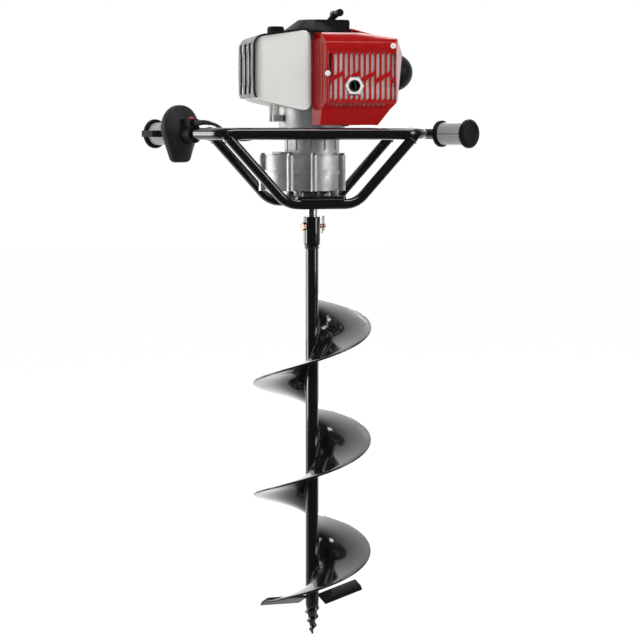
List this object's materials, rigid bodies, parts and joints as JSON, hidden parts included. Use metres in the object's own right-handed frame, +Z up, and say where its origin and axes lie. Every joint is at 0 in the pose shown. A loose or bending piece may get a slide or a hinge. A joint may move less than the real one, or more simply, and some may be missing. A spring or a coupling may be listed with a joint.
{
  "type": "earth auger",
  "caption": "Petrol earth auger: power head with reduction gearbox in a tube frame with hand grips, throttle and recoil starter, driving a pinned helical digging bit.",
  "frame": {"origin": "tip of the pilot point on the drive axis", "axes": "+Z up along the drive axis, +X towards the spark plug, -Y towards the muffler and the grille"},
  "size_m": [0.6258, 0.2388, 1.1841],
  "materials": {
    "frame_paint": "gloss black powder coat",
    "bit_paint": "gloss black enamel with worn edges",
    "grip_grey": "satin grey rubber",
    "black_plastic": "satin black moulding",
    "cable_black": "satin black sheath",
    "red_plastic": "gloss red moulding",
    "cast_alloy": "sand and die cast",
    "steel": "turned and zinc plated",
    "dark_iron": "machined and darkened",
    "bright_sheet": "pressed bright sheet",
    "pale_plastic": "satin moulding",
    "primer_rubber": "translucent bulb",
    "rope_white": "braided cord",
    "tank_white": "translucent white blow moulding",
    "pin_copper": "coppery plated steel"
  },
  "bodies": {
    "power_head": {"handlebar_front": "frame_paint", "handlebar_rear": "frame_paint", "cradle_bar_front": "frame_paint", "cradle_bar_rear": "frame_paint", "cradle_plate": "frame_paint", "plate_bolts": "steel", "grip_sleeves": "grip_grey", "grip_caps": "black_plastic", "right_grip_collar": "black_plastic", "throttle_shell_front": "black_plastic", "throttle_shell_rear": "black_plastic", "throttle_cable": "cable_black", "gearbox_lower": "cast_alloy", "gearbox_upper": "cast_alloy", "case_bolts": "steel", "ball_bearings": "steel", "output_bearings": "steel", "oil_seal": "cable_black", "clutch_housing": "cast_alloy", "fan_housing": "cast_alloy", "crankcase": "cast_alloy", "cylinder_block": "cast_alloy", "spark_plug": "steel", "plug_cover": "black_plastic", "muffler": "bright_sheet", "engine_cover": "red_plastic", "top_shroud": "red_plastic", "cover_screws": "steel", "ignition_coil": "black_plastic", "carburettor": "cast_alloy", "air_filter_base": "black_plastic", "air_filter_cover": "black_plastic", "starter_housing": "black_plastic", "fuel_tank": "tank_white", "tank_guard": "black_plastic"},
    "bit": {"output_shaft": "steel", "output_gear": "steel", "bit_socket": "bit_paint", "bit_tube": "bit_paint", "bit_flight": "bit_paint", "bit_blades": "bit_paint", "pilot_point": "bit_paint", "coupling_pin": "pin_copper", "pin_clip": "steel"},
    "layshaft": {"lay_shaft": "steel", "lay_gear": "steel"},
    "drum": {"input_pinion": "steel", "clutch_drum": "dark_iron"},
    "crank": {"crankshaft": "steel", "flywheel": "cast_alloy", "clutch_shoes": "dark_iron"},
    "starter_reel": {"starter_pulley": "pale_plastic", "starter_rope": "rope_white"},
    "pull_handle": {"starter_handle": "black_plastic"},
    "trigger": {"throttle_trigger": "black_plastic"},
    "carburettor_arm": {"throttle_arm": "steel"},
    "stop_slider": {"stop_switch": "red_plastic"},
    "choke": {"choke_lever": "pale_plastic"},
    "primer": {"primer_bulb": "primer_rubber"},
    "filler_cap": {"fuel_cap": "black_plastic"}
  },
  "joints": [
    {"name": "bit_spin", "type": "hinge", "parent": "power_head", "child": "bit", "pos_m": [0, 0, 0.8], "axis": [0, 0, 1], "continuous": true},
    {"name": "lay_spin", "type": "hinge", "parent": "power_head", "child": "layshaft", "pos_m": [-0.045, 0, 0.88], "axis": [0, 0, 1], "continuous": true},
    {"name": "drum_spin", "type": "hinge", "parent": "power_head", "child": "drum", "pos_m": [0, 0, 0.9], "axis": [0, 0, 1], "continuous": true},
    {"name": "crank_spin", "type": "hinge", "parent": "power_head", "child": "crank", "pos_m": [0, 0, 1], "axis": [0, 0, 1], "continuous": true},
    {"name": "starter_pull", "type": "slide", "parent": "power_head", "child": "pull_handle", "axis": [0.7071, 0, 0.7071], "range_m": [0, 0.45], "stiffness_N_per_m": 30, "springref_m": -0.3},
    {"name": "reel_spin", "type": "hinge", "parent": "power_head", "child": "starter_reel", "pos_m": [0, 0, 1.124], "axis": [0, 0, 1], "range_deg": [0, 1125]},
    {"name": "trigger_squeeze", "type": "hinge", "parent": "power_head", "child": "trigger", "pos_m": [-0.2672, -0.00874, 0.9545], "axis": [0, 0, -1], "range_deg": [0, 11.8], "stiffness_Nm_per_rad": 0.5, "springref_deg": -17.19},
    {"name": "arm_turn", "type": "hinge", "parent": "power_head", "child": "carburettor_arm", "pos_m": [0.09, 0.0663, 1.0917], "axis": [0, 0, 1], "range_deg": [0, 50]},
    {"name": "stop_slide", "type": "slide", "parent": "power_head", "child": "stop_slider", "axis": [-0.5736, 0.8192, 0], "range_m": [0, 0.006]},
    {"name": "choke_turn", "type": "hinge", "parent": "power_head", "child": "choke", "pos_m": [0.118, 0.0846, 1.03915], "axis": [0, -1, 0], "range_deg": [0, 60]},
    {"name": "primer_press", "type": "slide", "parent": "power_head", "child": "primer", "axis": [0, 0, 1], "range_m": [0, 0.004], "stiffness_N_per_m": 600, "springref_m": -0.002},
    {"name": "cap_turn", "type": "hinge", "parent": "power_head", "child": "filler_cap", "pos_m": [-0.05642, 0.06491, 1.142], "axis": [0, 0, 1], "range_deg": [0, 540]}
  ],
  "couplings": [
    {"joint": "lay_spin", "follows": "bit_spin", "ratio": -5},
    {"joint": "drum_spin", "follows": "bit_spin", "ratio": 25},
    {"joint": "reel_spin", "follows": "starter_pull", "rad_per_m": 43.573},
    {"joint": "arm_turn", "follows": "trigger_squeeze", "ratio": 4.2}
  ]
}
